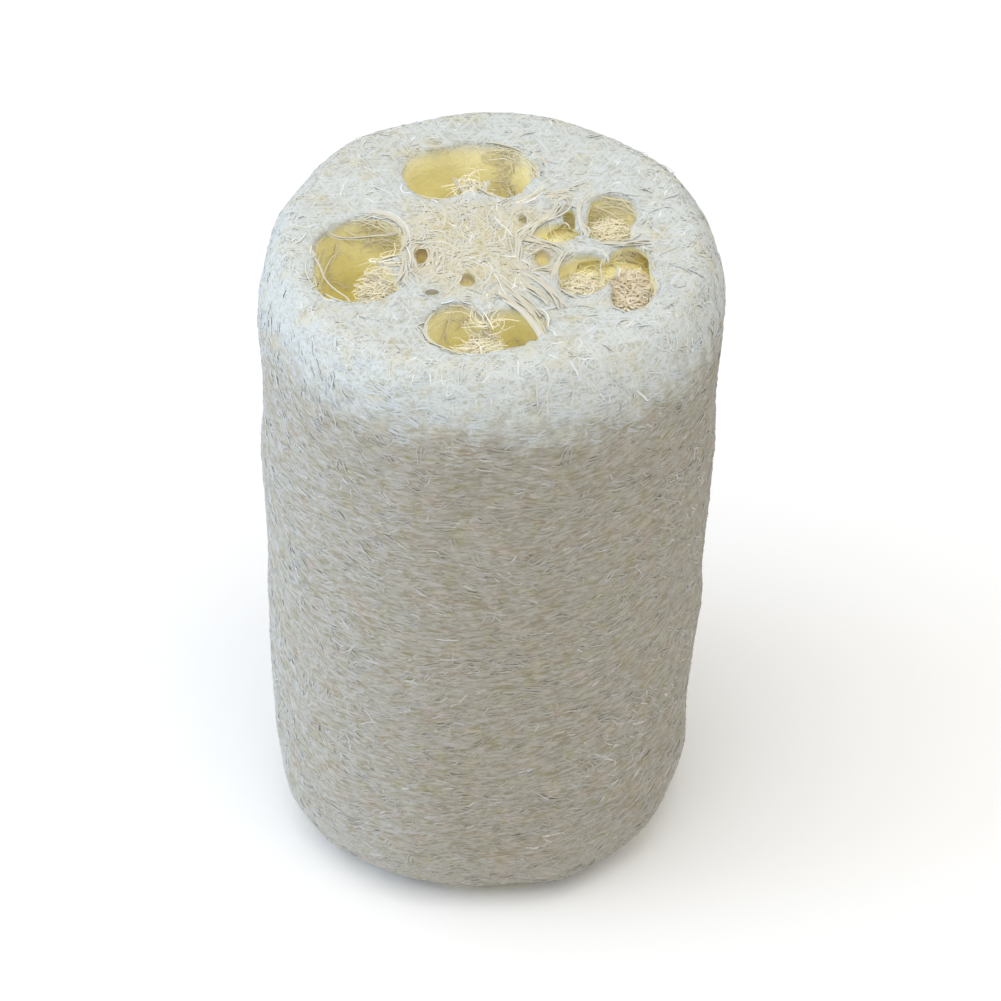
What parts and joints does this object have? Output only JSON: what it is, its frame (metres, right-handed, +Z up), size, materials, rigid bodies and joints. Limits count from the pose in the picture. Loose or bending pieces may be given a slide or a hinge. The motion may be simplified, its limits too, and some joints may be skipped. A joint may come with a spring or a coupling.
{
  "type": "natural loofah sponge",
  "caption": "Cut length of dried loofah: an upright, slightly tapering column of matted plant fibre, open along its seed chambers, for washing and scrubbing.",
  "frame": {"origin": "middle of the lower cut end, where the sponge stands", "axes": "+Z up along the sponge from the lower to the upper cut end; -Y faces the viewer of the picture and +X is to the viewer's right"},
  "size_m": [0.0802, 0.0832, 0.1234],
  "materials": {
    "loofah_fibre": "matte bleached plant fibre"
  },
  "bodies": {
    "root": {"loofah_sponge": "loofah_fibre"}
  },
  "joints": []
}
